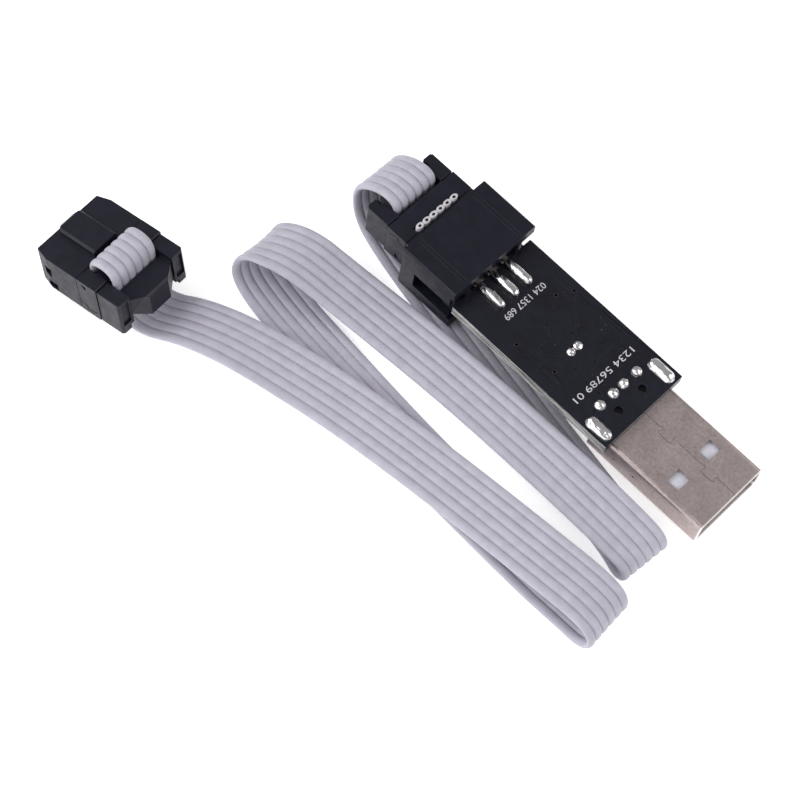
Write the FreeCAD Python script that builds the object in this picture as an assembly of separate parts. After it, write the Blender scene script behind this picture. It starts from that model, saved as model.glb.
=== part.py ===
import FreeCAD, Part
import math
import os

# USB microcontroller programmer: a bare circuit board with a USB-A plug at one end and a
# shrouded 2x3 pin header at the other, lying with its solder side up.  A 2x3 ribbon socket is
# plugged into the header, and its six-way ribbon folds back under the board, zigzags over the
# table beside it and ends in a second ribbon socket.
# Units are millimetres.  +X runs along the board towards the plug's tip, +Y across it, +Z up
# from the table.  The origin is on the table, at the middle of the length from the plug's tip to
# the near socket's arms.

# ---------------------------------------------------------------- driving dimensions
BOARD_LENGTH = 27.0
BOARD_WIDTH = 14.7
BOARD_THICKNESS = 1.6
BOARD_X0 = -12.5                      # edge at the header
BOARD_X1 = BOARD_X0 + BOARD_LENGTH    # edge at the plug

USB_WIDTH = 12.0
USB_HEIGHT = 4.5
USB_LENGTH = 18.8
USB_WALL = 0.3
USB_PROTRUSION = 15.5                 # length of shell beyond the board
USB_TIP_X = BOARD_X1 + USB_PROTRUSION
USB_REAR_X = USB_TIP_X - USB_LENGTH
USB_CORNER = 0.6
USB_PIN_YS = (-3.5, -1.0, 1.0, 3.5)
USB_PIN_X = 10.0
USB_TAB_X = 12.1
USB_TAB_LENGTH = 2.0
USB_PEG_YS = (-2.25, 2.25)
USB_WINDOW_X = (22.6, 24.5)
USB_WINDOW_Y = 3.0
USB_WINDOW_WIDTH = 2.3
USB_DIMPLES_X = (15.6, 18.95)
TONGUE_THICKNESS = 1.6
TONGUE_TIP_GAP = 0.6
TONGUE_SHELL_GAP = 0.3                # below the windows

BOARD_GAP = 0.05                      # between the shell and the board above it
BOARD_Z0 = USB_HEIGHT + BOARD_GAP
BOARD_Z1 = BOARD_Z0 + BOARD_THICKNESS
MID_Z = (BOARD_Z0 + BOARD_Z1) / 2

PITCH = 2.54
PIN_SIZE = 0.64
HEADER_WIDTH = 15.1
HEADER_THICKNESS = 8.8
HEADER_LENGTH = 9.2
HEADER_GAP = -0.1                      # its upper and lower lips reach just over the board
HEADER_X1 = BOARD_X0 - HEADER_GAP
HEADER_X0 = HEADER_X1 - HEADER_LENGTH
HEADER_FLOOR = 2.6
HEADER_END_WALL = 1.25
HEADER_SIDE_WALL = 1.2
HEADER_KEY_WIDTH = 4.7
PIN_TIP_X = HEADER_X0 + 0.7
PIN_TAIL_X = BOARD_X0 + 3.1
PIN_YS = (-PITCH, 0.0, PITCH)

SOCKET_WIDTH = 12.2
SOCKET_THICKNESS = 6.0
SOCKET_BODY = 7.3
SOCKET_COVER = 3.5
SOCKET_RELIEF = 3.8
SOCKET_SEAM = 0.08
SOCKET_DEPTH = 0.1                    # left between the socket and the header's floor
KEY_WIDTH = 4.2
KEY_HEIGHT = 1.0
LEAD_IN = 0.6
LEAD_IN_LENGTH = 2.0

RIBBON_WAYS = 6
RIBBON_PITCH = 1.27
RIBBON_WIRE = 1.27                    # across one insulated wire
RIBBON_WIDTH = (RIBBON_WAYS - 1) * RIBBON_PITCH + RIBBON_WIRE
RIBBON_THICKNESS = 0.85
CHANNEL_WIDTH = RIBBON_WIDTH + 0.2
CHANNEL_DEPTH = 0.9
RELIEF_SLOT = 1.55
RELIEF_BULGE = 1.2                    # its bar swells this far behind the arms
RELIEF_SINK = 0.25                    # the strain relief sits this far inside the cover's outline
CREST_RADIUS = 1.2

# The near socket lies upside down in the header, key down and cable end towards -X.
NEAR_ORIGIN = (HEADER_X1 - HEADER_FLOOR - SOCKET_DEPTH, 0.0, MID_Z - SOCKET_THICKNESS / 2)
# The far socket leans on its mating end, cable end raised by its own ribbon.
FAR_ORIGIN = (-54.9, -35.2, 6.25)
FAR_YAW, FAR_PITCH, FAR_ROLL = 5.4, -12.0, -3.0

# The ribbon's middle line from one socket to the other, with the way its width faces at each
# point: degrees turned from +Y, then degrees that the +Y edge is raised.
ROUTE = (
    (-22.85, 0.0, 8.85, 0, 0),
    (-22.82, 0.0, 5.3, 0, 0),
    (-22.85, 0.0, 1.7, 0, 0),
    (-26.8, 0.0, 1.7, 0, 0),
    (-26.86, 0.0, 5.5, 0, 0),
    (-26.8, 0.0, 9.2, 0, 0),
    (-30.2, 0.0, 9.05, 0, -3),
    (-33.9, -0.4, 5.8, 0, -2),
    (-31.5, -1.4, 0.8, -5, 0),
    (-25.5, -3.2, 0.43, -9, 0),
    (-14.0, -5.5, 0.43, -10, 0),
    (0.5, -8.2, 0.43, -10, 0),
    (12.5, -10.4, 0.43, -9, 0),
    (20.0, -11.6, 0.45, -9, 0),
    (24.4, -12.5, 0.48, -9, 0),
    (26.8, -13.3, 0.63, -6, 1),
    (27.9, -13.45, 2.4, -5, 3),
    (26.6, -13.4, 4.1, -4, 5),
    (23.3, -13.1, 3.9, -3, 8),
    (17.5, -12.75, 3.4, -3, 10),
    (7.0, -12.45, 2.7, -1, 11),
    (-5.0, -12.6, 2.3, 2, 10),
    (-16.5, -13.4, 2.4, 5, 9),
    (-25.4, -15.0, 4.4, 7, 5),
    (-31.0, -17.1, 8.2, 3, 1),
    (-36.2, -19.2, 7.0, -1, -2),
    (-35.8, -20.4, 2.4, -1, -1),
    (-28.5, -21.2, 0.62, -1, 0),
    (-18.5, -22.0, 0.43, -3, 0),
    (-4.5, -23.0, 0.45, -5, 0),
    (9.5, -23.4, 0.43, -2, 0),
    (19.5, -23.6, 0.45, -1, 0),
    (25.5, -23.4, 0.46, 3, 0),
    (29.1, -23.4, 0.63, 3, 1),
    (30.4, -23.2, 2.7, 4, 3),
    (28.9, -23.0, 5.0, 4, 5),
    (25.3, -22.9, 5.0, 4, 8),
    (19.5, -23.2, 4.5, 4, 10),
    (10.0, -23.5, 3.2, 5, 11),
    (-0.5, -24.2, 2.4, 6, 11),
    (-12.5, -25.6, 1.9, 8, 10),
    (-22.5, -27.6, 1.8, 12, 8),
    (-29.5, -29.8, 2.75, 14, 2),
    (-35.0, -31.8, 2.2, 13, -2),
    (-39.0, -33.6, 0.65, 8, -3),
    (-41.88, -34.38, 1.67, 5, -3),
    (-42.98, -34.21, 6.14, 5, -3),
    (-43.85, -34.07, 10.26, 5, -3),
    (-47.7, -34.43, 9.44, 5, -3),
    (-46.85, -34.56, 5.62, 5, -3),
    (-46.04, -34.69, 1.81, 5, -3),
)
ARC_SHARE = 0.45                      # share of the shorter run that a bend's tangent takes
ARC_STEP = math.radians(15)


# ---------------------------------------------------------------- small helpers
def block(x0, x1, y0, y1, z0, z1):
    """Box between two corners."""
    return Part.makeBox(x1 - x0, y1 - y0, z1 - z0, FreeCAD.Vector(x0, y0, z0))


def rod(radius, start, length, axis=(0, 0, 1)):
    """Cylinder from start along axis."""
    return Part.makeCylinder(radius, length, FreeCAD.Vector(*start), FreeCAD.Vector(*axis))


def prism(points, axis, start, length):
    """Solid of a flat outline, pushed along an axis ('x', 'y' or 'z') from start."""
    place = {
        "x": lambda a, b: FreeCAD.Vector(start, a, b),
        "y": lambda a, b: FreeCAD.Vector(a, start, b),
        "z": lambda a, b: FreeCAD.Vector(a, b, start),
    }[axis]
    push = {"x": FreeCAD.Vector(length, 0, 0), "y": FreeCAD.Vector(0, length, 0),
            "z": FreeCAD.Vector(0, 0, length)}[axis]
    corners = [place(a, b) for a, b in points]
    return Part.Face(Part.makePolygon(corners + corners[:1])).extrude(push)


def edges_along(shape, axis, test=lambda middle: True):
    """Straight edges of a shape that run along an axis and whose middle passes a test."""
    found = []
    for edge in shape.Edges:
        if len(edge.Vertexes) != 2:
            continue
        run = edge.Vertexes[1].Point - edge.Vertexes[0].Point
        parts = [abs(run.x), abs(run.y), abs(run.z)]
        if parts["xyz".index(axis)] > 0.99 * sum(parts) and test(edge.CenterOfMass):
            found.append(edge)
    return found


def joined(shapes):
    """One solid from touching or overlapping shapes."""
    result = shapes[0].multiFuse(shapes[1:]) if len(shapes) > 1 else shapes[0]
    return result.removeSplitter()


def group(shapes):
    """Separate solids in one node."""
    solids = []
    for shape in shapes:
        solids.extend(shape.Solids)
    return Part.makeCompound(solids)


def bead(x0, x1, y, z, width, height):
    """Rounded bead of solder on a surface, long from x0 to x1."""
    radius = (width * width / 4 + height * height) / (2 * height)
    centre_z = z + height - radius
    start = x0 + width / 2
    run = x1 - x0 - width
    body = Part.makeSphere(radius, FreeCAD.Vector(start, y, centre_z))
    if run > 0.01:
        body = body.fuse(rod(radius, (start, y, centre_z), run, (1, 0, 0)))
        body = body.fuse(Part.makeSphere(radius, FreeCAD.Vector(start + run, y, centre_z)))
    reach = radius + 1
    return body.common(block(x0 - reach, x1 + reach, y - reach, y + reach, z, z + height + 1))


# ---------------------------------------------------------------- board and plug
VIAS = ((-3.4, 6.1), (-4.6, 3.85), (0.3, 2.7), (-3.2, -5.1), (2.8, -4.3))
VIA_RADIUS = 0.2
CRYSTAL_X = 2.3
CRYSTAL_LEAD_YS = (-0.65, 0.65)
TAB_Y = USB_WIDTH / 2 - USB_WALL / 2


def make_board():
    """Black laminate with its plated holes, slots and pads' drillings."""
    half = BOARD_WIDTH / 2
    board = block(BOARD_X0, BOARD_X1, -half, half, BOARD_Z0, BOARD_Z1)
    holes = [(USB_PIN_X, y, 0.45) for y in USB_PIN_YS]
    holes += [(USB_TAB_X, y, 0.58) for y in USB_PEG_YS]
    holes += [(CRYSTAL_X, y, 0.35) for y in CRYSTAL_LEAD_YS]
    holes += [(x, y, VIA_RADIUS) for x, y in VIAS]
    for x, y, radius in holes:
        board = board.cut(rod(radius, (x, y, BOARD_Z0 - 1), BOARD_THICKNESS + 2))
    for side in (-1, 1):
        slot_x = USB_TAB_LENGTH / 2 + 0.2
        slot_y = USB_WALL / 2 + 0.15
        board = board.cut(block(USB_TAB_X - slot_x, USB_TAB_X + slot_x, side * TAB_Y - slot_y,
                                side * TAB_Y + slot_y, BOARD_Z0 - 1, BOARD_Z1 + 1))
    return board


def seam_grooves():
    """Shallow dovetailed seam along the middle of the shell's upper face, run by run."""
    knots = [(USB_REAR_X - 1, 0.75)]
    for x in (17.0, 24.3):
        knots += [(x, 0.75), (x + 0.3, 0.95), (x + 0.5, 0.7), (x + 0.3, 0.05), (x + 0.6, -0.1),
                  (x + 2.2, -0.1), (x + 2.5, 0.05), (x + 2.3, 0.7), (x + 2.5, 0.95), (x + 2.8, 0.75)]
    knots.append((USB_TIP_X + 1, 0.75))
    width = 0.08
    depth = 0.12
    grooves = []
    for (xa, ya), (xb, yb) in zip(knots, knots[1:]):
        run = math.hypot(xb - xa, yb - ya)
        groove = block(-width / 2, run + width / 2, -width / 2, width / 2, -depth, 1)
        groove.rotate(FreeCAD.Vector(0, 0, 0), FreeCAD.Vector(0, 0, 1),
                      math.degrees(math.atan2(yb - ya, xb - xa)))
        groove.translate(FreeCAD.Vector(xa, ya, USB_HEIGHT))
        grooves.append(groove)
    return grooves


def make_usb_shell():
    """Folded nickel shell with latch windows, jigsaw seam and two tabs through the board."""
    half = USB_WIDTH / 2
    inner = half - USB_WALL
    shell = block(USB_REAR_X, USB_TIP_X, -half, half, 0, USB_HEIGHT)
    shell = shell.makeFillet(USB_CORNER, edges_along(shell, "x"))
    hollow = block(USB_REAR_X - 1, USB_TIP_X + 1, -inner, inner, USB_WALL, USB_HEIGHT - USB_WALL)
    hollow = hollow.makeFillet(USB_CORNER - USB_WALL, edges_along(hollow, "x"))
    shell = shell.cut(hollow)
    for side in (-1, 1):
        y0 = side * USB_WINDOW_Y - USB_WINDOW_WIDTH / 2
        shell = shell.cut(block(USB_WINDOW_X[0], USB_WINDOW_X[1], y0, y0 + USB_WINDOW_WIDTH,
                                -1, USB_HEIGHT + 1))
    for x in USB_DIMPLES_X:
        shell = shell.cut(rod(0.2, (x, -half - 1, USB_HEIGHT / 2), 1.5, (0, 1, 0)))
    for groove in seam_grooves():
        shell = shell.cut(groove)
    for side in (-1, 1):
        y0 = side * TAB_Y - USB_WALL / 2
        tab = block(USB_TAB_X - USB_TAB_LENGTH / 2, USB_TAB_X + USB_TAB_LENGTH / 2,
                    y0, y0 + USB_WALL, USB_HEIGHT - 1.5, BOARD_Z1 + 0.5)
        shell = shell.fuse(tab)
    return shell.removeSplitter()


CONTACT_THICKNESS = 0.25
CONTACT_Z = USB_HEIGHT - USB_WALL - TONGUE_THICKNESS       # contact faces lie in the tongue's face


def usb_contact(y, length_short):
    """Flat contact in the tongue, bent up at its rear through the board."""
    tip = USB_TIP_X - TONGUE_TIP_GAP - 1.0 - length_short
    blade = block(USB_PIN_X - 0.125, tip, y - 0.5, y + 0.5, CONTACT_Z, CONTACT_Z + CONTACT_THICKNESS)
    shoulder = block(USB_PIN_X - 0.125, USB_PIN_X + 0.125, y - 0.5, y + 0.5, CONTACT_Z,
                     BOARD_Z0 - 0.1)
    pin = block(USB_PIN_X - 0.125, USB_PIN_X + 0.125, y - 0.3, y + 0.3, CONTACT_Z, BOARD_Z1 + 0.75)
    return joined([blade, shoulder, pin])


def usb_contacts():
    """The outer two contacts reach further forward than the inner two."""
    return [usb_contact(y, 0.0 if abs(y) > 2 else 1.0) for y in USB_PIN_YS]


def make_usb_insulator():
    """White moulding: solid block in the rear of the shell and the tongue in its upper half."""
    half = USB_WIDTH / 2 - USB_WALL - 0.05
    low = USB_WALL + 0.03
    top = USB_HEIGHT - USB_WALL - 0.03
    under = top - TONGUE_SHELL_GAP
    corner = USB_CORNER - USB_WALL
    nose = USB_TIP_X - TONGUE_TIP_GAP
    outline = ((-half, low + corner), (-half + corner, low), (half - corner, low),
               (half, low + corner), (half, top - corner), (half - corner, top),
               (-half + corner, top), (-half, top - corner))
    section = prism(outline, "x", USB_REAR_X + 0.4, nose - USB_REAR_X)
    rear = USB_REAR_X + 0.4
    profile = ((rear, low), (rear + 6.0, low), (rear + 6.0, CONTACT_Z), (nose - 0.35, CONTACT_Z),
               (nose, CONTACT_Z + 0.35), (nose, under - 0.35), (nose - 0.35, under),
               (rear + 6.5, under), (rear + 6.2, top), (rear, top))
    body = section.common(prism(profile, "y", -half - 1, 2 * half + 2))
    for contact in usb_contacts():
        body = body.cut(contact)
    return body.removeSplitter()


def make_usb_solder():
    """Beads on the four contact pins and long ones over the two shell tabs."""
    beads = []
    for contact, y in zip(usb_contacts(), USB_PIN_YS):
        beads.append(bead(USB_PIN_X - 0.8, USB_PIN_X + 0.8, y, BOARD_Z1, 1.6, 0.6).cut(contact))
    shell = make_usb_shell()
    for side in (-1, 1):
        beads.append(bead(USB_TAB_X - 2.1, USB_TAB_X + 2.1, side * 5.95, BOARD_Z1, 1.9, 0.65)
                     .cut(shell))
    return group(beads)


# ---------------------------------------------------------------- header
def header_pin(y, z):
    """Square post with a pointed tip."""
    half = PIN_SIZE / 2
    post = block(PIN_TIP_X, PIN_TAIL_X, y - half, y + half, z - half, z + half)
    ends = [e for e in post.Edges if abs(e.CenterOfMass.x - PIN_TIP_X) < 0.01]
    return post.makeChamfer(0.18, ends)


def header_pins(side):
    """Row of three pins above (1) or below (-1) the board's middle."""
    return [header_pin(y, MID_Z + side * PITCH / 2) for y in PIN_YS]


def make_header_housing():
    """Shroud round the six pins, open towards -X, with its key slot in the lower wall."""
    half_y = HEADER_WIDTH / 2
    half_z = HEADER_THICKNESS / 2
    floor_x = HEADER_X1 - HEADER_FLOOR
    cavity_y = half_y - HEADER_END_WALL
    cavity_z = half_z - HEADER_SIDE_WALL
    housing = block(HEADER_X0, HEADER_X1, -half_y, half_y, MID_Z - half_z, MID_Z + half_z)
    housing = housing.makeChamfer(0.2, edges_along(housing, "x"))
    housing = housing.cut(block(HEADER_X0 - 1, floor_x, -cavity_y, cavity_y,
                                MID_Z - cavity_z, MID_Z + cavity_z))
    key = HEADER_KEY_WIDTH / 2
    housing = housing.cut(block(HEADER_X0 - 1, floor_x, -key, key, MID_Z - half_z - 1, MID_Z))
    slot_end = HEADER_X0 + 2.4
    slot_z0 = MID_Z - 2.25
    slot_z1 = MID_Z + 0.75
    for side in (-1, 1):
        # slot in each end wall, and a step where the end stands off the board
        y0, y1 = sorted((side * (half_y + 1), side * cavity_y))
        housing = housing.cut(block(slot_end, HEADER_X1 + 1, y0, y1,
                                    slot_z0, slot_z1))
        y0, y1 = sorted((side * (half_y + 1), side * 4.9))
        housing = housing.cut(block(HEADER_X1 - 0.55, HEADER_X1 + 1, y0, y1,
                                    MID_Z - half_z + 1.7, MID_Z + half_z - 1.7))
        # pair of thin raised lines along the upper face
        for y in (4.75, 5.3):
            housing = housing.fuse(block(HEADER_X0 + 0.7, HEADER_X1 - 0.5, side * y - 0.06,
                                         side * y + 0.06, MID_Z + half_z - 0.2, MID_Z + half_z + 0.05))
    # the pins leave a recess between small feet, and the board's edge has a slot
    housing = housing.cut(block(HEADER_X1 - 0.5, HEADER_X1 + 1, -4.3, 4.3,
                                MID_Z - half_z + 1.0, MID_Z + half_z - 1.0))
    housing = housing.cut(block(BOARD_X0 - 0.1, HEADER_X1 + 1, -half_y - 1, half_y + 1,
                                BOARD_Z0 - 0.1, BOARD_Z1 + 0.1))
    for side in (-1, 1):
        for pin in header_pins(side):
            housing = housing.cut(pin)
    return housing.removeSplitter()


FILLET_START = BOARD_X0 + 0.15
FILLET_FULL = BOARD_X0 + 2.3
FILLET_END = BOARD_X0 + 4.7
FILLET_RADIUS = 0.7


def make_header_solder(side):
    """Long tapered fillets that bed three pin tails on their pads."""
    surface = BOARD_Z1 if side > 0 else BOARD_Z0
    axis_z = surface + side * 0.38
    z0, z1 = (surface, surface + 2) if side > 0 else (surface - 2, surface)
    fillets = []
    for y, pin in zip(PIN_YS, header_pins(side)):
        taper = Part.makeCone(0.52, FILLET_RADIUS, FILLET_FULL - FILLET_START,
                              FreeCAD.Vector(FILLET_START, y, axis_z), FreeCAD.Vector(1, 0, 0))
        run = FILLET_END - FILLET_RADIUS - FILLET_FULL
        barrel = rod(FILLET_RADIUS, (FILLET_FULL, y, axis_z), run, (1, 0, 0))
        end = Part.makeSphere(FILLET_RADIUS, FreeCAD.Vector(FILLET_FULL + run, y, axis_z))
        fillet = taper.fuse(barrel).fuse(end)
        fillet = fillet.common(block(FILLET_START - 1, FILLET_END + 1, y - 1.2, y + 1.2, z0, z1))
        fillets.append(fillet.cut(pin))
    return group(fillets)


# ---------------------------------------------------------------- component side
MCU_CENTRE = (-2.6, 1.2)
MCU_SIZE = 7.0
MCU_THICKNESS = 1.0
MCU_STANDOFF = 0.1
LEAD_PITCH = 0.8
LEAD_WIDTH = 0.37
LEAD_REACH = 1.0


def make_mcu_body():
    """Thin square chip package, hanging under the board."""
    x, y = MCU_CENTRE
    half = MCU_SIZE / 2
    top = BOARD_Z0 - MCU_STANDOFF
    body = block(x - half, x + half, y - half, y + half, top - MCU_THICKNESS, top)
    corners = edges_along(body, "z")
    body = body.makeChamfer(0.35, corners)
    mark = rod(0.35, (x - half + 1.0, y - half + 1.0, top - MCU_THICKNESS - 0.5), 0.56)
    return body.cut(mark)


def make_mcu_leads():
    """Gull-wing leads, eight on each side."""
    x, y = MCU_CENTRE
    half = MCU_SIZE / 2
    mid = BOARD_Z0 - MCU_STANDOFF - MCU_THICKNESS / 2
    profile = ((half, mid - 0.07), (half + 0.38, mid - 0.07), (half + 0.5, BOARD_Z0 - 0.16),
               (half + LEAD_REACH, BOARD_Z0 - 0.16), (half + LEAD_REACH, BOARD_Z0 - 0.02),
               (half + 0.38, BOARD_Z0 - 0.02), (half + 0.26, mid + 0.07), (half, mid + 0.07))
    leads = []
    for place in range(8):
        offset = (place - 3.5) * LEAD_PITCH
        lead = prism(profile, "y", offset - LEAD_WIDTH / 2, LEAD_WIDTH)
        for quarter in range(4):
            turned = lead.copy()
            turned.rotate(FreeCAD.Vector(0, 0, 0), FreeCAD.Vector(0, 0, 1), 90 * quarter)
            turned.translate(FreeCAD.Vector(x, y, 0))
            leads.append(turned)
    return group(leads)


CRYSTAL_RADIUS = 1.0
CRYSTAL_LENGTH = 6.0
CRYSTAL_Y = -5.6


def make_crystal_can():
    """Small cylinder crystal, lying across under the board's edge."""
    z = BOARD_Z0 - CRYSTAL_RADIUS - 0.03
    start = CRYSTAL_X + 1.3
    can = rod(CRYSTAL_RADIUS, (start, 0, z), CRYSTAL_LENGTH, (1, 0, 0))
    far = [e for e in can.Edges if e.CenterOfMass.x > start + CRYSTAL_LENGTH - 0.1]
    return can.makeFillet(0.3, far[:1])


def crystal_leads():
    """Two wires from the can's base, bent up through the board."""
    z = BOARD_Z0 - CRYSTAL_RADIUS - 0.03
    leads = []
    for y in CRYSTAL_LEAD_YS:
        wire = rod(0.14, (CRYSTAL_X, y, z), 1.3, (1, 0, 0))
        post = rod(0.17, (CRYSTAL_X, y, z - 0.2), BOARD_Z1 + 0.35 - z + 0.2)
        leads.append(joined([wire, post]))
    return leads


def make_crystal_solder():
    """Flat solder dots where the crystal's leads come through."""
    dots = []
    for y, lead in zip(CRYSTAL_LEAD_YS, crystal_leads()):
        dots.append(bead(CRYSTAL_X - 0.62, CRYSTAL_X + 0.62, y, BOARD_Z1, 1.24, 0.3).cut(lead))
    return group(dots)


# chip parts under the board: centre, length along X, width along Y, height
CHIP_RESISTORS = ((-6.9, -5.4), (-4.9, -5.4), (7.4, 5.2), (9.3, 5.2))
CHIP_CAPACITORS = ((-2.9, -5.4), (4.6, 5.6), (8.3, -5.3))
LEDS = ((-8.0, 6.0), (5.6, -4.9))
ZENERS = ((6.2, 2.6), (6.2, -2.6))
CHIP_LENGTH = 2.0
CHIP_WIDTH = 1.25
CAP_BAND = 0.35


def chip_body(x, y, height, tall_share=1.0):
    """Middle of a chip part between its metal end caps; its length runs along Y."""
    half_x = CHIP_WIDTH / 2
    half_y = CHIP_LENGTH / 2 - CAP_BAND
    return block(x - half_x, x + half_x, y - half_y, y + half_y,
                 BOARD_Z0 - 0.05 - height * tall_share, BOARD_Z0 - 0.05)


def chip_caps(x, y, height):
    """Metal end caps of a chip part."""
    caps = []
    for side in (-1, 1):
        y0, y1 = sorted((y + side * CHIP_LENGTH / 2, y + side * (CHIP_LENGTH / 2 - CAP_BAND)))
        caps.append(block(x - CHIP_WIDTH / 2, x + CHIP_WIDTH / 2, y0, y1,
                          BOARD_Z0 - 0.05 - height, BOARD_Z0 - 0.02))
    return caps


def make_led(x, y):
    """Clear lens block of a chip lamp."""
    base = chip_body(x, y, 0.35)
    lens = block(x - 0.5, x + 0.5, y - 0.6, y + 0.6, BOARD_Z0 - 1.0, BOARD_Z0 - 0.4)
    lens = lens.makeChamfer(0.15, [e for e in lens.Edges if e.CenterOfMass.z < BOARD_Z0 - 0.95])
    return joined([base, lens])


def zener(x, y):
    """Glass diode barrel between two round metal caps; its length runs along X."""
    z = BOARD_Z0 - 0.75
    barrel = rod(0.62, (x - 1.0, y, z), 2.0, (1, 0, 0))
    ends = [rod(0.7, (x + shift, y, z), 0.5, (1, 0, 0)) for shift in (-1.5, 1.0)]
    return barrel, ends


# ---------------------------------------------------------------- ribbon sockets
# A socket is built in its own axes: u from the mating face towards the cable, v across,
# w up from the plain face to the key's face, whose plane is w = 0.
CONTACT_WS = (-SOCKET_THICKNESS / 2 - PITCH / 2, -SOCKET_THICKNESS / 2 + PITCH / 2)
TINE_REACH = 1.25


def socket_contact(v, w, side):
    """Spring contact: two beams round the pin, and a forked blade that pierces one wire."""
    beams = [block(0.7, 6.3, v + s * 0.5 - 0.08, v + s * 0.5 + 0.08, w - 0.4, w + 0.4)
             for s in (-1, 1)]
    web = block(6.1, 6.4, v - 0.58, v + 0.58, w - 0.4, w + 0.4)
    wire = v + side * RIBBON_PITCH / 2
    shelf0, shelf1 = sorted((v, wire + side * 0.4))
    shelf = block(6.1, 6.6, shelf0, shelf1, w - 0.15, w + 0.15)
    tines = [block(6.4, SOCKET_BODY + TINE_REACH, wire + s * 0.27 - 0.13, wire + s * 0.27 + 0.13,
                   w - 0.15, w + 0.15) for s in (-1, 1)]
    return joined(beams + [web, shelf] + tines)


def socket_contacts():
    """Six contacts: the two rows pierce alternate wires."""
    contacts = []
    for w, side in zip(CONTACT_WS, (-1, 1)):
        contacts += [socket_contact(v, w, side) for v in PIN_YS]
    return contacts


def socket_body():
    """Moulding with six contact wells, the key and the lead-ins at its mating end."""
    half = SOCKET_WIDTH / 2
    outline = ((0, half - LEAD_IN), (LEAD_IN_LENGTH, half), (SOCKET_BODY, half),
               (SOCKET_BODY, -half), (LEAD_IN_LENGTH, -half), (0, -half + LEAD_IN))
    body = prism(outline, "z", -SOCKET_THICKNESS, SOCKET_THICKNESS)
    k = KEY_WIDTH / 2
    plan = prism(((0.1, -k + 0.9), (0.9, -k), (SOCKET_BODY - 0.4, -k), (SOCKET_BODY - 0.4, k),
                  (0.9, k), (0.1, k - 0.9)), "z", -0.2, KEY_HEIGHT + 0.2)
    ends = prism(((-k, -0.2), (-k, KEY_HEIGHT - 0.3), (-k + 0.3, KEY_HEIGHT), (k - 0.3, KEY_HEIGHT),
                  (k, KEY_HEIGHT - 0.3), (k, -0.2)), "x", 0, SOCKET_BODY)
    nose = prism(((0.1, -0.2), (0.1, KEY_HEIGHT - 0.45), (0.55, KEY_HEIGHT), (SOCKET_BODY, KEY_HEIGHT),
                  (SOCKET_BODY, -0.2)), "y", -k, KEY_WIDTH)
    body = body.fuse(plan.common(ends).common(nose)).removeSplitter()
    for w, side in zip(CONTACT_WS, (-1, 1)):
        for v in PIN_YS:
            body = body.cut(block(-1, 1, v - 0.45, v + 0.45, w - 0.45, w + 0.45))
            body = body.cut(block(0.6, SOCKET_BODY + 1, v - 0.68, v + 0.68, w - 0.5, w + 0.5))
            tine0, tine1 = sorted((v, v + side * 1.15))
            body = body.cut(block(6.0, SOCKET_BODY + 1, tine0, tine1, w - 0.25, w + 0.25))
    for s in (-1, 1):
        y0, y1 = sorted((s * (half - 0.75), s * (half + 1)))
        body = body.cut(block(1.2, 2.5, y0, y1, -3.5, -2.0))
        body = body.cut(block(1.5, 3.2, y0, y1, -5.75, -4.6))
    return body.removeSplitter()


def socket_cover():
    """Pressed-on cover with the ribbon's channel in its front face and a crest the ribbon folds over."""
    half = SOCKET_WIDTH / 2
    u0 = SOCKET_BODY
    u1 = SOCKET_BODY + SOCKET_COVER - SOCKET_SEAM
    channel = CHANNEL_WIDTH / 2
    inner = block(u0 + CHANNEL_DEPTH, u1, -channel, channel, -SOCKET_THICKNESS, 0)
    inner = inner.makeFillet(CREST_RADIUS, edges_along(inner, "y", lambda m: m.z > -0.01))
    sides = []
    for s in (-1, 1):
        y0, y1 = sorted((s * channel, s * half))
        side = block(u0 + SOCKET_SEAM, u1, y0, y1, -SOCKET_THICKNESS, 0)
        rear = edges_along(side, "y", lambda m: m.x > u1 - 0.01)
        sides.append(side.makeChamfer(0.12, rear))
    cover = joined([inner] + sides)
    for s in (-1, 1):
        # fine gap round the latch near the plain edge, and a small pocket near the key's edge
        y0, y1 = sorted((s * (half - 0.2), s * (half + 1)))
        hook = ((0, -4.6), (1.15, -4.75), (1.3, -5.25), (1.75, -5.3), (2.9, -4.95), (2.9, -4.8),
                (1.85, -5.15), (1.42, -5.1), (1.27, -4.6), (0, -4.45))
        cover = cover.cut(prism([(u0 + u, w) for u, w in hook], "y", y0, y1 - y0))
        pocket = ((u0 + 0.75, -0.5), (u0 + 1.6, -0.65), (u0 + 1.6, -1.25), (u0 + 1.35, -1.3))
        cover = cover.cut(prism(pocket, "y", y0, y1 - y0))
    for w, side in zip(CONTACT_WS, (-1, 1)):
        for v in PIN_YS:
            wire = v + side * RIBBON_PITCH / 2
            cover = cover.cut(block(u0 - 1, u0 + TINE_REACH + 0.15, wire - 0.5, wire + 0.5,
                                    w - 0.3, w + 0.3))
    return cover.removeSplitter()


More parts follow.
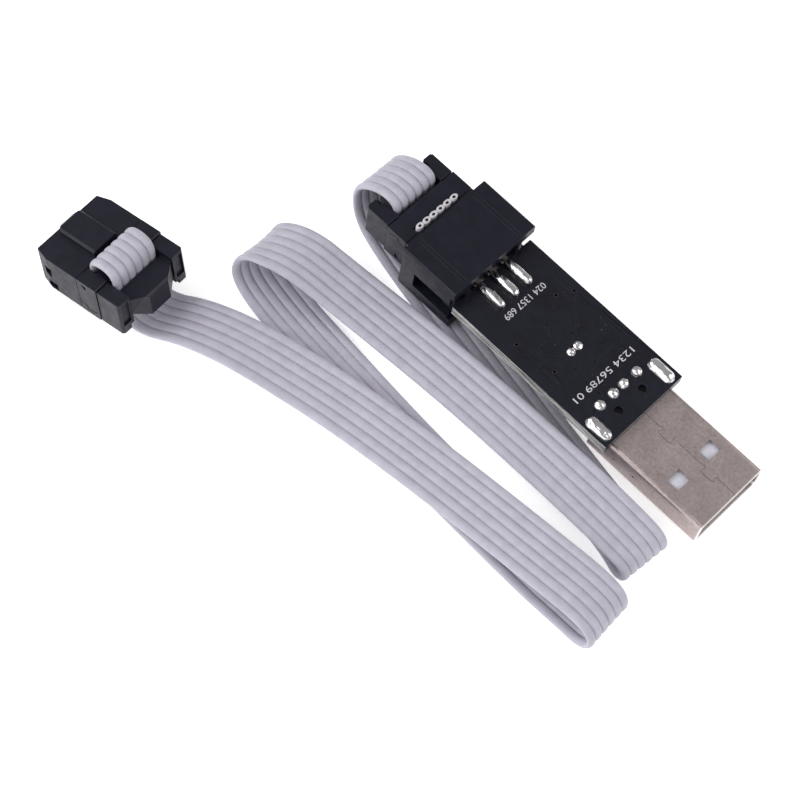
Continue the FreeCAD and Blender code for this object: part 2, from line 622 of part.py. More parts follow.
def strain_relief():
    """Bridge behind the cover: two side arms with feet and a bulging bar that holds the ribbon down."""
    half = SOCKET_WIDTH / 2 - 0.1
    channel = CHANNEL_WIDTH / 2
    u0 = SOCKET_BODY + SOCKET_COVER
    u1 = u0 + SOCKET_RELIEF
    bar_u = u0 + RELIEF_SLOT
    low = -SOCKET_THICKNESS
    high = -RELIEF_SINK
    arms = []
    for s in (-1, 1):
        y0, y1 = sorted((s * channel, s * half))
        arm = block(u0, u1, y0, y1, low, high)
        # frame-like rim round the rear face, and a foot with a notch behind it
        y0, y1 = sorted((s * (channel + 0.4), s * (half - 0.4)))
        arm = arm.cut(block(u1 - 0.3, u1 + 1, y0, y1, -4.6, high - 0.5))
        y0, y1 = sorted((s * (channel - 1), s * (channel + 0.55)))
        arm = arm.cut(block(u1 - 1.1, u1 + 1, y0, y1, low - 1, -5.3))
        arms.append(arm)
    front = prism(((-channel, -1.25), (-channel, -4.1), (-1.7, -5.1), (1.7, -5.1),
                   (channel, -4.1), (channel, -1.25)), "x", bar_u, u1 - bar_u + 2)
    plan = prism(((bar_u, -channel), (u1 - 0.3, -channel), (u1 + RELIEF_BULGE, -1.7),
                  (u1 + RELIEF_BULGE, 1.7), (u1 - 0.3, channel), (bar_u, channel)), "z", low, 6)
    bar = front.common(plan)
    bar = bar.makeChamfer(0.3, edges_along(bar, "y", lambda m: m.z > -1.3 and m.x > u1))
    relief = joined(arms + [bar])
    rear = edges_along(relief, "z", lambda m: m.x > u1 - 0.05 and abs(m.y) > half - 0.05)
    relief = relief.makeChamfer(0.3, rear)
    return relief.removeSplitter()


def near_placement():
    """Half a turn about Y puts u towards -X and the key down."""
    return FreeCAD.Placement(FreeCAD.Vector(*NEAR_ORIGIN), FreeCAD.Rotation(FreeCAD.Vector(0, 1, 0), 180))


def far_placement():
    """Yaw, then pitch, then roll."""
    return FreeCAD.Placement(FreeCAD.Vector(*FAR_ORIGIN), FreeCAD.Rotation(FAR_YAW, FAR_PITCH, FAR_ROLL))


def placed(shape, placement):
    """Copy of a socket piece moved from its own axes to the table."""
    copy = shape.copy()
    copy.transformShape(placement.toMatrix())
    return copy


# ---------------------------------------------------------------- ribbon
def route_vectors():
    return [FreeCAD.Vector(*row[:3]) for row in ROUTE]


def across_at(place, tangent):
    """Unit vector along the ribbon's width at a place on the route (index plus fraction)."""
    index = min(int(place), len(ROUTE) - 2)
    share = place - index
    heading = math.radians(ROUTE[index][3] * (1 - share) + ROUTE[index + 1][3] * share)
    tilt = math.radians(ROUTE[index][4] * (1 - share) + ROUTE[index + 1][4] * share)
    width = FreeCAD.Vector(-math.sin(heading) * math.cos(tilt), math.cos(heading) * math.cos(tilt),
                           math.sin(tilt))
    width = width - tangent * width.dot(tangent)
    return width.normalize()


def bend_at(points, index):
    """Turn angle, tangent length and radius of the bend at one point of the route."""
    before = (points[index] - points[index - 1])
    after = (points[index + 1] - points[index])
    turn = before.getAngle(after)
    tangent = ARC_SHARE * min(before.Length, after.Length)
    return turn, tangent, tangent / math.tan(turn / 2)


def ribbon_path():
    """Wire of straight runs joined by tangent arcs, and the stations that carry sections."""
    points = route_vectors()
    edges = []
    stations = []
    start = points[0]
    stations.append((start, (points[1] - start).normalize(), 0.0))
    for index in range(1, len(points) - 1):
        turn, tangent, radius = bend_at(points, index)
        before = (points[index] - points[index - 1])
        after = (points[index + 1] - points[index])
        enter = points[index] - before * (tangent / before.Length)
        leave = points[index] + after * (tangent / after.Length)
        bisector = (after.normalize() - before.normalize()).normalize()
        centre = points[index] + bisector * (radius / math.cos(turn / 2))
        middle = centre - bisector * radius
        edges.append(Part.LineSegment(start, enter).toShape())
        edges.append(Part.Arc(enter, middle, leave).toShape())
        steps = max(1, math.ceil(turn / ARC_STEP))
        place_in = index - tangent / (points[index] - points[index - 1]).Length
        place_out = index + tangent / (points[index + 1] - points[index]).Length
        axis = before.cross(after).normalize()
        for step in range(steps + 1):
            share = step / steps
            turning = FreeCAD.Rotation(axis, math.degrees(turn * share))
            spoke = turning.multVec(enter - centre)
            stations.append((centre + spoke, turning.multVec(before),
                             place_in + (place_out - place_in) * share))
        start = leave
    last = (points[-1] - points[-2]).normalize()
    edges.append(Part.LineSegment(start, points[-1]).toShape())
    stations.append((points[-1], last, len(points) - 1.0))
    return Part.Wire(edges), stations


def make_ribbon():
    """Closed solid of the flat cable's outline, ruled from station to station."""
    path, stations = ribbon_path()
    sections = []
    for centre, tangent, place in stations:
        width = across_at(place, tangent) * (RIBBON_WIDTH / 2)
        up = tangent.cross(width).normalize() * (RIBBON_THICKNESS / 2)
        corners = [centre - width - up, centre + width - up, centre + width + up, centre - width + up]
        sections.append(Part.makePolygon(corners + corners[:1]))
    ribbon = Part.makeLoft(sections, True, True)
    return ribbon, path


def report_ribbon(ribbon, path):
    """Print each bend's radius and compare the solid's volume with section times length."""
    points = route_vectors()
    runs = [(b - a).Length for a, b in zip(points, points[1:])]
    for index in range(1, len(points) - 1):
        turn, tangent, radius = bend_at(points, index)
        print("bend %2d  turn %5.1f  radius %6.1f  runs %5.1f %5.1f"
              % (index, math.degrees(turn), radius, runs[index - 1], runs[index]))
    expected = RIBBON_WIDTH * RIBBON_THICKNESS * path.Length
    print("ribbon length %.1f  volume %.1f  section x length %.1f  valid %s"
          % (path.Length, ribbon.Volume, expected, ribbon.isValid()))


# ---------------------------------------------------------------- all nodes
def build_nodes():
    """Every piece, by node name."""
    nodes = {
        "pcb": make_board(),
        "usb_shell": make_usb_shell(),
        "usb_insulator": make_usb_insulator(),
        "usb_contacts": group(usb_contacts()),
        "usb_solder": make_usb_solder(),
        "header_housing": make_header_housing(),
        "header_pins_upper": group(header_pins(1)),
        "header_pins_lower": group(header_pins(-1)),
        "header_solder_upper": make_header_solder(1),
        "header_solder_lower": make_header_solder(-1),
        "mcu_body": make_mcu_body(),
        "mcu_leads": make_mcu_leads(),
        "crystal_can": make_crystal_can(),
        "crystal_leads": group(crystal_leads()),
        "crystal_solder": make_crystal_solder(),
        "power_led": make_led(*LEDS[0]),
        "status_led": make_led(*LEDS[1]),
        "chip_resistors": group([chip_body(x, y, 0.45) for x, y in CHIP_RESISTORS]),
        "chip_capacitors": group([chip_body(x, y, 0.8) for x, y in CHIP_CAPACITORS]),
    }
    caps = []
    for x, y in CHIP_RESISTORS:
        caps += chip_caps(x, y, 0.47)
    for x, y in CHIP_CAPACITORS:
        caps += chip_caps(x, y, 0.82)
    for x, y in LEDS:
        caps += chip_caps(x, y, 0.37)
    nodes["chip_end_caps"] = group(caps)
    barrels = []
    ends = []
    for x, y in ZENERS:
        barrel, pair = zener(x, y)
        barrels.append(barrel)
        ends += pair
    nodes["zener_barrels"] = group(barrels)
    nodes["zener_caps"] = group(ends)
    ribbon, path = make_ribbon()
    report_ribbon(ribbon, path)
    nodes["ribbon_cable"] = ribbon
    for name, placement in (("near", near_placement()), ("far", far_placement())):
        nodes[name + "_socket_body"] = placed(socket_body(), placement)
        nodes[name + "_socket_cover"] = placed(socket_cover(), placement)
        nodes[name + "_strain_relief"] = placed(strain_relief(), placement)
        nodes[name + "_contacts"] = placed(group(socket_contacts()), placement)
    return nodes


os.makedirs("parts", exist_ok=True)
for name, shape in build_nodes().items():
    shape.exportStep("parts/%s.step" % name)
    box = shape.BoundBox
    print("%-20s solids %2d valid %s  x %7.2f %7.2f  y %7.2f %7.2f  z %6.2f %6.2f"
          % (name, len(shape.Solids), shape.isValid(), box.XMin, box.XMax, box.YMin, box.YMax,
             box.ZMin, box.ZMax))
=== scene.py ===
import math

import bmesh
import bpy
from mathutils import Matrix, Vector


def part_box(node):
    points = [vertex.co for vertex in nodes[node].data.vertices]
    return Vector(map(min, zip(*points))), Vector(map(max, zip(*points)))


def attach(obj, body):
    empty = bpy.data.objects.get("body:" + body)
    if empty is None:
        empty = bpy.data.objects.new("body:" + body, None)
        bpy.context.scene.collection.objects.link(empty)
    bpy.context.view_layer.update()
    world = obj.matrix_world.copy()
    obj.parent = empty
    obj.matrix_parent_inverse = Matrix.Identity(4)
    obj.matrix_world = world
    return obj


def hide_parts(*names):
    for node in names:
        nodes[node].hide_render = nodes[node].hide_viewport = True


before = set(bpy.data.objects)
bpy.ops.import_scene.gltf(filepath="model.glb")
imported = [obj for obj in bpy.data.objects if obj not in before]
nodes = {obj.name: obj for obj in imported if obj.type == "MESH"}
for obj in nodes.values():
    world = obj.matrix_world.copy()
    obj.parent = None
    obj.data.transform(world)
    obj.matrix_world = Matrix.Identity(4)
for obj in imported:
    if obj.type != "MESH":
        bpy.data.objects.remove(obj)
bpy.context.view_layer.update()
MM = 0.001


# ---------------------------------------------------------------- camera, light and floor
# The camera was solved from known sizes: the plug, the pin pitch and the ribbon pitch.
CAMERA_LENS = 106.01
CAMERA_SENSOR = 36.0
CAMERA_NEAREST = 0.01
CAMERA_PLACE = (0.06274, -0.12777, 0.27386)
CAMERA_RIGHT = (0.70801, 0.70033, 0.09084)
CAMERA_UP = (-0.66483, 0.61762, 0.42018)

LIGHT_TARGET = (-0.01, -0.015, 0)
LIGHTS = (                            # name, place, width of the square lamp, watts
    ("key", (-0.5, -0.38, 0.5), 0.8, 5.2),
    ("back", (0.5, 0.38, 0.5), 0.8, 3.6),
    ("front", (0.15, -0.66, 0.22), 0.9, 3.0),
)
WORLD_STRENGTH = 0.4

FLOOR_REACH = 1.5
FLOOR_DROP = 0.00005                  # keeps the floor apart from faces that lie at zero
FLOOR_WHITE = (0.93, 0.93, 0.93, 1)
FLOOR_GLOW = 0.45                     # keeps the contact shadows faint


def place_in_scene(name, data):
    """New object in the scene with this data."""
    made = bpy.data.objects.new(name, data)
    bpy.context.scene.collection.objects.link(made)
    return made


def add_camera():
    data = bpy.data.cameras.new("camera")
    data.lens = CAMERA_LENS
    data.sensor_width = CAMERA_SENSOR
    data.clip_start = CAMERA_NEAREST
    right = Vector(CAMERA_RIGHT)
    up = Vector(CAMERA_UP)
    turn = Matrix((right, up, right.cross(up))).transposed().to_4x4()
    camera = place_in_scene("camera", data)
    camera.matrix_world = Matrix.Translation(Vector(CAMERA_PLACE)) @ turn
    bpy.context.scene.camera = camera


def add_area_light(name, place, size, energy):
    """Square lamp that faces the middle of the object."""
    data = bpy.data.lights.new(name, "AREA")
    data.shape = "SQUARE"
    data.size = size
    data.energy = energy
    lamp = place_in_scene(name, data)
    lamp.location = place
    facing = Vector(LIGHT_TARGET) - Vector(place)
    lamp.rotation_euler = facing.to_track_quat("-Z", "Y").to_euler()


def add_floor():
    """White table top with a slight glow."""
    mesh = bpy.data.meshes.new("floor")
    corners = [(x * FLOOR_REACH, y * FLOOR_REACH, 0) for x, y in ((-1, -1), (1, -1), (1, 1), (-1, 1))]
    mesh.from_pydata(corners, [], [(0, 1, 2, 3)])
    floor = place_in_scene("floor", mesh)
    floor.location = (0, 0, -FLOOR_DROP)
    material = bpy.data.materials.new("floor_white")
    material.use_nodes = True
    shader = material.node_tree.nodes["Principled BSDF"]
    shader.inputs["Base Color"].default_value = FLOOR_WHITE
    shader.inputs["Roughness"].default_value = 0.9
    shader.inputs["Specular IOR Level"].default_value = 0.1
    shader.inputs["Emission Color"].default_value = (1, 1, 1, 1)
    shader.inputs["Emission Strength"].default_value = FLOOR_GLOW
    floor.data.materials.append(material)


def add_world():
    """Even white light from every side."""
    world = bpy.data.worlds.new("studio")
    world.use_nodes = True
    background = world.node_tree.nodes["Background"]
    background.inputs["Color"].default_value = (1, 1, 1, 1)
    background.inputs["Strength"].default_value = WORLD_STRENGTH
    bpy.context.scene.world = world


add_camera()
add_world()
bpy.context.scene.view_settings.view_transform = "Standard"
add_floor()
for light in LIGHTS:
    add_area_light(*light)


# ---------------------------------------------------------------- materials
class Material:
    """Small helper round a node tree that ends in one Principled shader."""

    def __init__(self, name, colour, roughness, metallic=0.0, specular=0.5):
        self.data = bpy.data.materials.new(name)
        self.data.use_nodes = True
        self.tree = self.data.node_tree
        self.shader = self.tree.nodes["Principled BSDF"]
        self.shader.inputs["Base Color"].default_value = (*colour, 1)
        self.shader.inputs["Roughness"].default_value = roughness
        self.shader.inputs["Metallic"].default_value = metallic
        self.shader.inputs["Specular IOR Level"].default_value = specular
        self.bump_from = None

    def node(self, kind, **values):
        """New shader node with these settings."""
        made = self.tree.nodes.new(kind)
        for key, value in values.items():
            setattr(made, key, value)
        return made

    def link(self, source, target):
        self.tree.links.new(source, target)

    def object_place(self):
        return self.node("ShaderNodeTexCoord").outputs["Object"]

    def axis(self, letter):
        """The X, Y or Z of the point in the object's own coordinates."""
        parts = self.node("ShaderNodeSeparateXYZ")
        self.link(self.object_place(), parts.inputs["Vector"])
        return parts.outputs[letter]

    def noise(self, scale, detail=3.0, stretch=(1, 1, 1), roughness=0.5):
        """Noise from 0 to 1 over the object's own coordinates, scale in 1/m."""
        mapping = self.node("ShaderNodeMapping")
        mapping.inputs["Scale"].default_value = stretch
        self.link(self.object_place(), mapping.inputs["Vector"])
        texture = self.node("ShaderNodeTexNoise")
        texture.inputs["Scale"].default_value = scale
        texture.inputs["Detail"].default_value = detail
        texture.inputs["Roughness"].default_value = roughness
        self.link(mapping.outputs["Vector"], texture.inputs["Vector"])
        return texture.outputs["Fac"]

    def ramp(self, source, low, high, at=(0.35, 0.65)):
        """Colour that goes from low to high as source goes between the two places."""
        ramp = self.node("ShaderNodeValToRGB")
        ramp.color_ramp.elements[0].position = at[0]
        ramp.color_ramp.elements[1].position = at[1]
        ramp.color_ramp.elements[0].color = (*low, 1)
        ramp.color_ramp.elements[1].color = (*high, 1)
        self.link(source, ramp.inputs["Fac"])
        return ramp.outputs["Color"]

    def span(self, source, low, high):
        """Number that goes from low to high as source goes from 0.3 to 0.7."""
        span = self.node("ShaderNodeMapRange")
        span.inputs["From Min"].default_value = 0.3
        span.inputs["From Max"].default_value = 0.7
        span.inputs["To Min"].default_value = low
        span.inputs["To Max"].default_value = high
        self.link(source, span.inputs["Value"])
        return span.outputs["Result"]

    def paint(self, colour):
        self.link(colour, self.shader.inputs["Base Color"])

    def rough(self, value):
        self.link(value, self.shader.inputs["Roughness"])

    def bump(self, height, strength, distance):
        """Bump of up to distance metres, on top of the bumps before it."""
        bump = self.node("ShaderNodeBump")
        bump.inputs["Strength"].default_value = strength
        bump.inputs["Distance"].default_value = distance
        self.link(height, bump.inputs["Height"])
        if self.bump_from is not None:
            self.link(self.bump_from, bump.inputs["Normal"])
        self.bump_from = bump.outputs["Normal"]
        self.link(self.bump_from, self.shader.inputs["Normal"])

    def mask(self, source, start, end):
        """0 below start, 1 above end."""
        span = self.span(source, 0.0, 1.0)
        span.node.inputs["From Min"].default_value = start
        span.node.inputs["From Max"].default_value = end
        return span

    def mix(self, share, low, high):
        """Colour low where share is 0, high where it is 1.  Each is a socket or three numbers."""
        mix = self.node("ShaderNodeMix", data_type="RGBA")
        self.link(share, mix.inputs["Factor"])
        for socket, value in ((mix.inputs["A"], low), (mix.inputs["B"], high)):
            if isinstance(value, tuple):
                socket.default_value = (*value, 1)
            else:
                self.link(value, socket)
        return mix.outputs["Result"]

    def outside(self, low, high, margin):
        """1 on the two faces of the box from low to high that face +Y and -Y, 0 between them."""
        away = self.node("ShaderNodeMath", operation="SUBTRACT")
        self.link(self.axis("Y"), away.inputs[0])
        away.inputs[1].default_value = (low[1] + high[1]) / 2
        size = self.node("ShaderNodeMath", operation="ABSOLUTE")
        self.link(away.outputs["Value"], size.inputs[0])
        beyond = self.node("ShaderNodeMath", operation="GREATER_THAN")
        self.link(size.outputs["Value"], beyond.inputs[0])
        beyond.inputs[1].default_value = (high[1] - low[1]) / 2 - margin
        return beyond.outputs["Value"]


def scaled(colour, factor):
    """The colour made darker or lighter."""
    return tuple(min(1.0, c * factor) for c in colour)


def moulded(name, colour, roughness=0.42, grain=7000, depth=0.000012, specular=0.5):
    """Moulded plastic: fine spark-eroded grain, faint flow clouds and uneven gloss."""
    made = Material(name, colour, roughness, specular=specular)
    made.paint(made.ramp(made.noise(380, 4), scaled(colour, 0.82), scaled(colour, 1.22)))
    made.rough(made.span(made.noise(900, 4), roughness - 0.07, roughness + 0.08))
    made.bump(made.noise(grain, 3), 0.25, depth)
    made.bump(made.noise(260, 2), 0.12, 0.00003)
    return made.data


def metal(name, colour, roughness, clouds=420, stretch=(1, 1, 1), change=0.16):
    """Metal with cloudy tarnish and uneven gloss."""
    made = Material(name, colour, roughness, metallic=1.0)
    made.paint(made.ramp(made.noise(clouds, 5, stretch),
                         scaled(colour, 1 - change), scaled(colour, 1 + change / 2)))
    made.rough(made.span(made.noise(clouds * 2.3, 5, stretch), roughness * 0.7, roughness * 1.35))
    made.bump(made.noise(9000, 3, stretch), 0.12, 0.00001)
    return made.data


def set_solder():
    """Bright solder with the drawn-out ripples of a hand-made joint, and darker streaks painted in as
    reflections.
    """
    bright = (0.7, 0.68, 0.7)
    made = Material("solder", bright, 0.16, metallic=1.0)
    # painted reflection: darker streaks drawn out along the joint, standing in for what the shiny solder
    # mirrors
    reflection_streaks = made.mask(made.noise(1100, 3, (0.5, 1.3, 1.3)), 0.56, 0.68)
    made.paint(made.mix(reflection_streaks, bright, (0.36, 0.34, 0.34)))
    made.rough(made.span(made.noise(1600, 3, (0.5, 1.2, 1.2)), 0.1, 0.24))
    made.bump(made.noise(620, 1, (0.3, 1.2, 1.2)), 1.0, 0.0003)
    made.bump(made.noise(1500, 1, (0.5, 1.2, 1.2)), 1.0, 0.00016)
    return made.data


TINNED_FROM = 5.8 * MM                # height at which the contacts' plating turns to tin
TINNED_BLUR = 0.2 * MM


def plated_contact():
    """Gold blade whose end is tinned where it comes through the board."""
    made = Material("gold_blade", (0.84, 0.58, 0.25), 0.25, metallic=1.0)
    tinned_part = made.mask(made.axis("Z"), TINNED_FROM - TINNED_BLUR, TINNED_FROM)
    clouds = made.ramp(made.noise(900, 4), (0.78, 0.52, 0.21), (0.88, 0.63, 0.3))
    made.paint(made.mix(tinned_part, clouds, (0.7, 0.69, 0.69)))
    made.rough(made.span(made.noise(1500, 4), 0.17, 0.32))
    made.bump(made.noise(6000, 3), 0.12, 0.00001)
    return made.data


RIM_HIGHLIGHT = 0.18 * MM                  # how far the painted highlight along the mouth's rounded edge reaches back from the plug's mouth
RIM_BLUR = 0.08 * MM


def nickel_shell(rim):
    """Rolled and plated sheet: handling marks, stains, a warm tint and a painted highlight along the
    mouth's edge up to X = rim.
    """
    warm = (0.455, 0.385, 0.38)
    made = Material("usb_nickel", warm, 0.42, metallic=1.0)
    clouds = made.ramp(made.noise(150, 5, (1, 1, 1), 0.55), scaled(warm, 1.05), scaled(warm, 1.19))
    grain = made.mask(made.noise(2400, 5, (1, 1, 1), 0.72), 0.36, 0.7)
    grained = made.mix(grain, clouds, scaled(warm, 0.76))
    stains = made.mask(made.noise(560, 5, (1, 1, 1), 0.62), 0.62, 0.74)
    stained = made.mix(stains, grained, (0.38, 0.3, 0.27))
    # painted highlight: a near-white band along the mouth's edge, standing in for the light that the
    # rounded rim catches
    rim_highlight = made.mask(made.axis("X"), rim - RIM_HIGHLIGHT, rim - RIM_HIGHLIGHT + RIM_BLUR)
    made.paint(made.mix(rim_highlight, stained, (0.95, 0.92, 0.9)))
    made.rough(made.span(made.noise(420, 5), 0.38, 0.48))
    made.bump(made.noise(3600, 3, (0.3, 1.6, 1)), 0.1, 0.000008)
    made.bump(made.noise(130, 2), 0.2, 0.00004)
    return made.data


MASK_MARGIN = 0.04 * MM               # the sawn edge starts this far inside the outline


def circuit_board(low, high):
    """Black solder mask on the faces and bare sawn glass laminate round the outline."""
    black = (0.0068, 0.0068, 0.0128)
    made = Material("board_mask", black, 0.3, specular=0.3)
    clouds = made.ramp(made.noise(170, 4), scaled(black, 0.85), scaled(black, 1.25))
    specks = made.mask(made.noise(2300, 2), 0.735, 0.76)
    face = made.mix(specks, clouds, (0.06, 0.06, 0.07))
    fibres = made.ramp(made.noise(520, 6, (0.45, 0.45, 5.5), 0.75),
                       (0.05, 0.05, 0.048), (0.5, 0.5, 0.49), (0.36, 0.62))
    edge = made.outside(low, high, MASK_MARGIN)
    made.paint(made.mix(edge, face, fibres))
    made.rough(made.span(made.noise(800, 4), 0.22, 0.36))
    made.bump(made.noise(5200, 3), 0.12, 0.000008)
    made.bump(made.noise(900, 4, (0.4, 0.4, 6)), 0.1, 0.00003)
    return made.data


def ribbon_material(name, colour, roughness=0.46):
    """Extruded PVC: soft mottling and a fine grain."""
    made = Material(name, colour, roughness, specular=0.4)
    made.paint(made.ramp(made.noise(700, 4), scaled(colour, 0.94), scaled(colour, 1.05)))
    made.rough(made.span(made.noise(2500, 3), roughness - 0.07, roughness + 0.1))
    made.bump(made.noise(8000, 2), 0.14, 0.00001)
    made.shader.inputs["Subsurface Weight"].default_value = 0.12
    made.shader.inputs["Subsurface Radius"].default_value = (1.0, 0.8, 0.75)
    made.shader.inputs["Subsurface Scale"].default_value = 0.0004
    return made.data


def lens(name, colour):
    """Clear tinted resin with a faint haze."""
    made = Material(name, colour, 0.15, specular=0.6)
    made.paint(made.ramp(made.noise(1800, 3), scaled(colour, 0.8), scaled(colour, 1.15)))
    made.rough(made.span(made.noise(2600, 3), 0.1, 0.22))
    made.bump(made.noise(3000, 2), 0.1, 0.00001)
    made.shader.inputs["Transmission Weight"].default_value = 0.45
    made.shader.inputs["IOR"].default_value = 1.5
    return made.data


PLASTIC = (0.0046, 0.0046, 0.0118)
RIBBON_GREY = (0.406, 0.391, 0.458)
track_mask = moulded("track_mask", (0.0084, 0.0084, 0.0148), roughness=0.27, grain=5200, specular=0.3)
black_plastic = moulded("black_plastic_grain", PLASTIC, roughness=0.4, specular=0.3)
black_socket = moulded("black_socket_grain", scaled(PLASTIC, 1.1), grain=6000, specular=0.3)
white_plastic = moulded("white_tongue", (0.64, 0.635, 0.71), roughness=0.4, grain=5200)
silk_white = moulded("silk_ink", (0.5, 0.5, 0.53), roughness=0.55, grain=9000)
epoxy = moulded("chip_epoxy", (0.022, 0.021, 0.021), roughness=0.55, grain=8200, depth=0.00003)
ceramic_black = moulded("resistor_glaze", (0.014, 0.014, 0.015), roughness=0.3, grain=5000)
ceramic_tan = moulded("capacitor_ceramic", (0.27, 0.17, 0.09), roughness=0.5, grain=6500)
solder = set_solder()
tinned = metal("tinned_pins", (0.66, 0.64, 0.62), 0.3, clouds=900, stretch=(1, 4, 4))
# darker bronze tone: partly the pins' own colour, partly painted shade where the pins run in the shadow of
# the housing
pins_bronze_and_shade = metal("pins_bronze_and_shade", (0.35, 0.29, 0.25), 0.35, clouds=900, stretch=(1, 4, 4))
gold = metal("gold_contacts", (0.86, 0.6, 0.26), 0.26, clouds=700)
crystal_steel = metal("crystal_can_steel", (0.66, 0.65, 0.63), 0.22, clouds=350, stretch=(0.4, 2, 2))
gold_blade = plated_contact()
copper = metal("via_copper", (0.062, 0.045, 0.042), 0.5, clouds=1500)
strand = metal("cut_strand", (0.05, 0.035, 0.03), 0.6, clouds=2500)
usb_nickel = nickel_shell(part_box("usb_shell")[1][0])
BOARD_LOW, BOARD_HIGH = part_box("pcb")
BOARD_TOP = BOARD_HIGH[2]
board_mask = circuit_board(BOARD_LOW, BOARD_HIGH)
ribbon_grey = ribbon_material("ribbon_grey", RIBBON_GREY)
# painted shade: the faces beside each groove between two wires get a darker grey, standing in for the shade
# in the creases
ribbon_groove_shade = ribbon_material("ribbon_groove_shade", scaled(RIBBON_GREY, 0.8), roughness=0.6)
ribbon_cut = ribbon_material("ribbon_cut", (0.55, 0.53, 0.56), roughness=0.55)
red_resin = lens("red_resin", (0.55, 0.03, 0.02))
green_resin = lens("green_resin", (0.1, 0.42, 0.08))
zener_glass = lens("zener_glass", (0.5, 0.12, 0.05))

NODE_FINISH = {
    "pcb": board_mask,
    "usb_shell": usb_nickel,
    "usb_insulator": white_plastic,
    "usb_contacts": gold_blade,
    "usb_solder": solder,
    "header_housing": black_plastic,
    "header_pins_upper": pins_bronze_and_shade,
    "header_pins_lower": pins_bronze_and_shade,
    "header_solder_upper": solder,
    "header_solder_lower": solder,
    "mcu_body": epoxy,
    "mcu_leads": tinned,
    "crystal_can": crystal_steel,
    "crystal_leads": tinned,
    "crystal_solder": solder,
    "power_led": red_resin,
    "status_led": green_resin,
    "chip_resistors": ceramic_black,
    "chip_capacitors": ceramic_tan,
    "chip_end_caps": tinned,
    "zener_barrels": zener_glass,
    "zener_caps": tinned,
    "near_socket_body": black_socket,
    "near_socket_cover": black_socket,
    "near_strain_relief": black_socket,
    "near_contacts": gold,
    "far_socket_body": black_socket,
    "far_socket_cover": black_socket,
    "far_strain_relief": black_socket,
    "far_contacts": gold,
}
for name, finish in NODE_FINISH.items():
    for holder in nodes[name].material_slots:
        holder.material = finish

# ---------------------------------------------------------------- worn edges on the hard parts
WELD_REACH = 0.002 * MM
EDGE_ANGLE = math.radians(38)         # sharper turns than this are rounded
EDGE_RADIUS = {                       # mm
    "pcb": 0.05,
    "usb_shell": 0.035,
    "header_housing": 0.1,
    "near_socket_body": 0.1,
    "near_socket_cover": 0.06,
    "near_strain_relief": 0.06,
    "far_socket_body": 0.1,
    "far_socket_cover": 0.06,
    "far_strain_relief": 0.06,
    "mcu_body": 0.08,
}
for name, radius in EDGE_RADIUS.items():
    weld = nodes[name].modifiers.new("weld", "WELD")
    weld.merge_threshold = WELD_REACH
    bevel = nodes[name].modifiers.new("edges", "BEVEL")
    bevel.width = radius * MM
    bevel.segments = 2
    bevel.limit_method = "ANGLE"
    bevel.angle_limit = EDGE_ANGLE
    bevel.harden_normals = True


# ---------------------------------------------------------------- ribbon
# Control points of the ribbon's middle line, as in part.py: x, y, z in mm, then the degrees
# that its width is turned from +Y and the degrees that its +Y edge is raised.
ROUTE_MM = (
    (-22.85, 0.0, 8.85, 0, 0),
    (-22.82, 0.0, 5.3, 0, 0),
    (-22.85, 0.0, 1.7, 0, 0),
    (-26.8, 0.0, 1.7, 0, 0),
    (-26.86, 0.0, 5.5, 0, 0),
    (-26.8, 0.0, 9.2, 0, 0),
    (-30.2, 0.0, 9.05, 0, -3),
    (-33.9, -0.4, 5.8, 0, -2),
    (-31.5, -1.4, 0.8, -5, 0),
    (-25.5, -3.2, 0.43, -9, 0),
    (-14.0, -5.5, 0.43, -10, 0),
    (0.5, -8.2, 0.43, -10, 0),
    (12.5, -10.4, 0.43, -9, 0),
    (20.0, -11.6, 0.45, -9, 0),
    (24.4, -12.5, 0.48, -9, 0),
    (26.8, -13.3, 0.63, -6, 1),
    (27.9, -13.45, 2.4, -5, 3),
    (26.6, -13.4, 4.1, -4, 5),
    (23.3, -13.1, 3.9, -3, 8),
    (17.5, -12.75, 3.4, -3, 10),
    (7.0, -12.45, 2.7, -1, 11),
    (-5.0, -12.6, 2.3, 2, 10),
    (-16.5, -13.4, 2.4, 5, 9),
    (-25.4, -15.0, 4.4, 7, 5),
    (-31.0, -17.1, 8.2, 3, 1),
    (-36.2, -19.2, 7.0, -1, -2),
    (-35.8, -20.4, 2.4, -1, -1),
    (-28.5, -21.2, 0.62, -1, 0),
    (-18.5, -22.0, 0.43, -3, 0),
    (-4.5, -23.0, 0.45, -5, 0),
    (9.5, -23.4, 0.43, -2, 0),
    (19.5, -23.6, 0.45, -1, 0),
    (25.5, -23.4, 0.46, 3, 0),
    (29.1, -23.4, 0.63, 3, 1),
    (30.4, -23.2, 2.7, 4, 3),
    (28.9, -23.0, 5.0, 4, 5),
    (25.3, -22.9, 5.0, 4, 8),
    (19.5, -23.2, 4.5, 4, 10),
    (10.0, -23.5, 3.2, 5, 11),
    (-0.5, -24.2, 2.4, 6, 11),
    (-12.5, -25.6, 1.9, 8, 10),
    (-22.5, -27.6, 1.8, 12, 8),
    (-29.5, -29.8, 2.75, 14, 2),
    (-35.0, -31.8, 2.2, 13, -2),
    (-39.0, -33.6, 0.65, 8, -3),
    (-41.88, -34.38, 1.67, 5, -3),
    (-42.98, -34.21, 6.14, 5, -3),
    (-43.85, -34.07, 10.26, 5, -3),
    (-47.7, -34.43, 9.44, 5, -3),
    (-46.85, -34.56, 5.62, 5, -3),
    (-46.04, -34.69, 1.81, 5, -3),
)
RIBBON_WAYS = 6
RIBBON_PITCH = 1.27 * MM
RIBBON_WIRE = 1.27 * MM               # width that one wire takes
RIBBON_WIDTH = (RIBBON_WAYS - 1) * RIBBON_PITCH + RIBBON_WIRE
RIBBON_HALF = 0.425 * MM              # half the thickness over a wire
RIBBON_WEB = 0.15 * MM                # half the thickness between two wires
RIBBON_ROUND = 3.4                    # how full each wire's crown is
